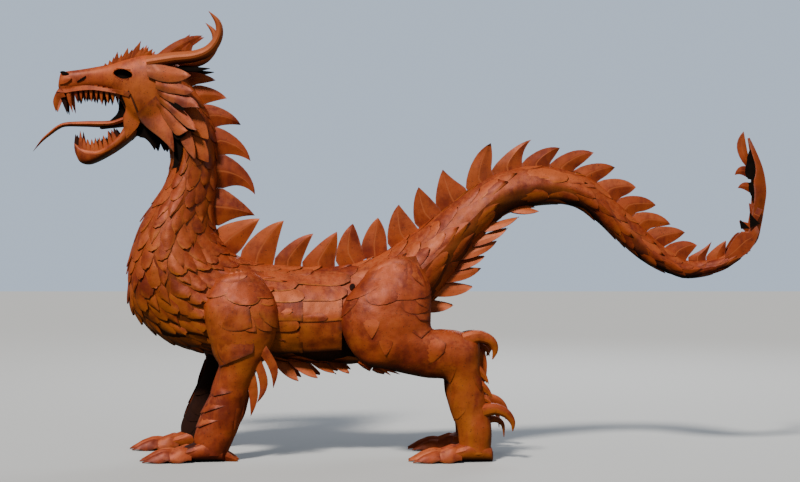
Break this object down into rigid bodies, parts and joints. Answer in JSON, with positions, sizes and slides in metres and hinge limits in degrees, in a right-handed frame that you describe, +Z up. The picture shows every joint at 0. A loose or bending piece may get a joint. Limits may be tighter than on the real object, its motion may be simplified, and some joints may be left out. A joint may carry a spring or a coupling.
{
  "type": "steel dragon sculpture",
  "caption": "Standing dragon sculpture of scaled sheet steel with an open jaw, long tongue, curved horns, a bladed back and a long upswept tail, on four flat clawed feet.",
  "frame": {"origin": "on the ground, below the middle of the box around the sculpture", "axes": "-X is where the head looks, +X is the tail's side, -Y is the dragon's left, +Z up"},
  "size_m": [5.1345, 0.854, 3.08],
  "materials": {
    "skin_steel": "rusted, satin",
    "blade_steel": "rusted, satin",
    "head_steel": "rusted, satin"
  },
  "bodies": {
    "root": {"body_shell": "skin_steel", "head_shell": "head_steel", "lower_jaw": "head_steel", "tongue": "head_steel", "horn_left": "blade_steel", "horn_right": "blade_steel", "plume_left": "blade_steel", "plume_right": "blade_steel", "crest_blade_01": "blade_steel", "crest_blade_02": "blade_steel", "crest_blade_03": "blade_steel", "crest_blade_04": "blade_steel", "crest_blade_05": "blade_steel", "crest_blade_06": "blade_steel", "crest_blade_07": "blade_steel", "crest_blade_08": "blade_steel", "crest_blade_09": "blade_steel", "crest_blade_10": "blade_steel", "crest_blade_11": "blade_steel", "crest_blade_12": "blade_steel", "crest_blade_13": "blade_steel", "crest_blade_14": "blade_steel", "crest_blade_15": "blade_steel", "crest_blade_16": "blade_steel", "crest_blade_17": "blade_steel", "crest_blade_18": "blade_steel", "crest_blade_19": "blade_steel", "crest_blade_20": "blade_steel", "crest_blade_21": "blade_steel", "crest_blade_22": "blade_steel", "crest_blade_23": "blade_steel", "crest_blade_24": "blade_steel", "crest_blade_25": "blade_steel", "crest_blade_26": "blade_steel", "crest_blade_27": "blade_steel", "belly_blade_1": "blade_steel", "belly_blade_2": "blade_steel", "belly_blade_3": "blade_steel", "belly_blade_4": "blade_steel", "tail_blade_1": "blade_steel", "tail_blade_2": "blade_steel", "tail_blade_3": "blade_steel", "tail_blade_4": "blade_steel", "tail_blade_5": "blade_steel", "tail_blade_6": "blade_steel", "tail_blade_7": "blade_steel", "tail_blade_8": "blade_steel", "tail_end": "blade_steel", "front_leg_left": "skin_steel", "front_leg_right": "skin_steel", "hind_leg_left": "skin_steel", "hind_leg_right": "skin_steel"}
  },
  "joints": []
}
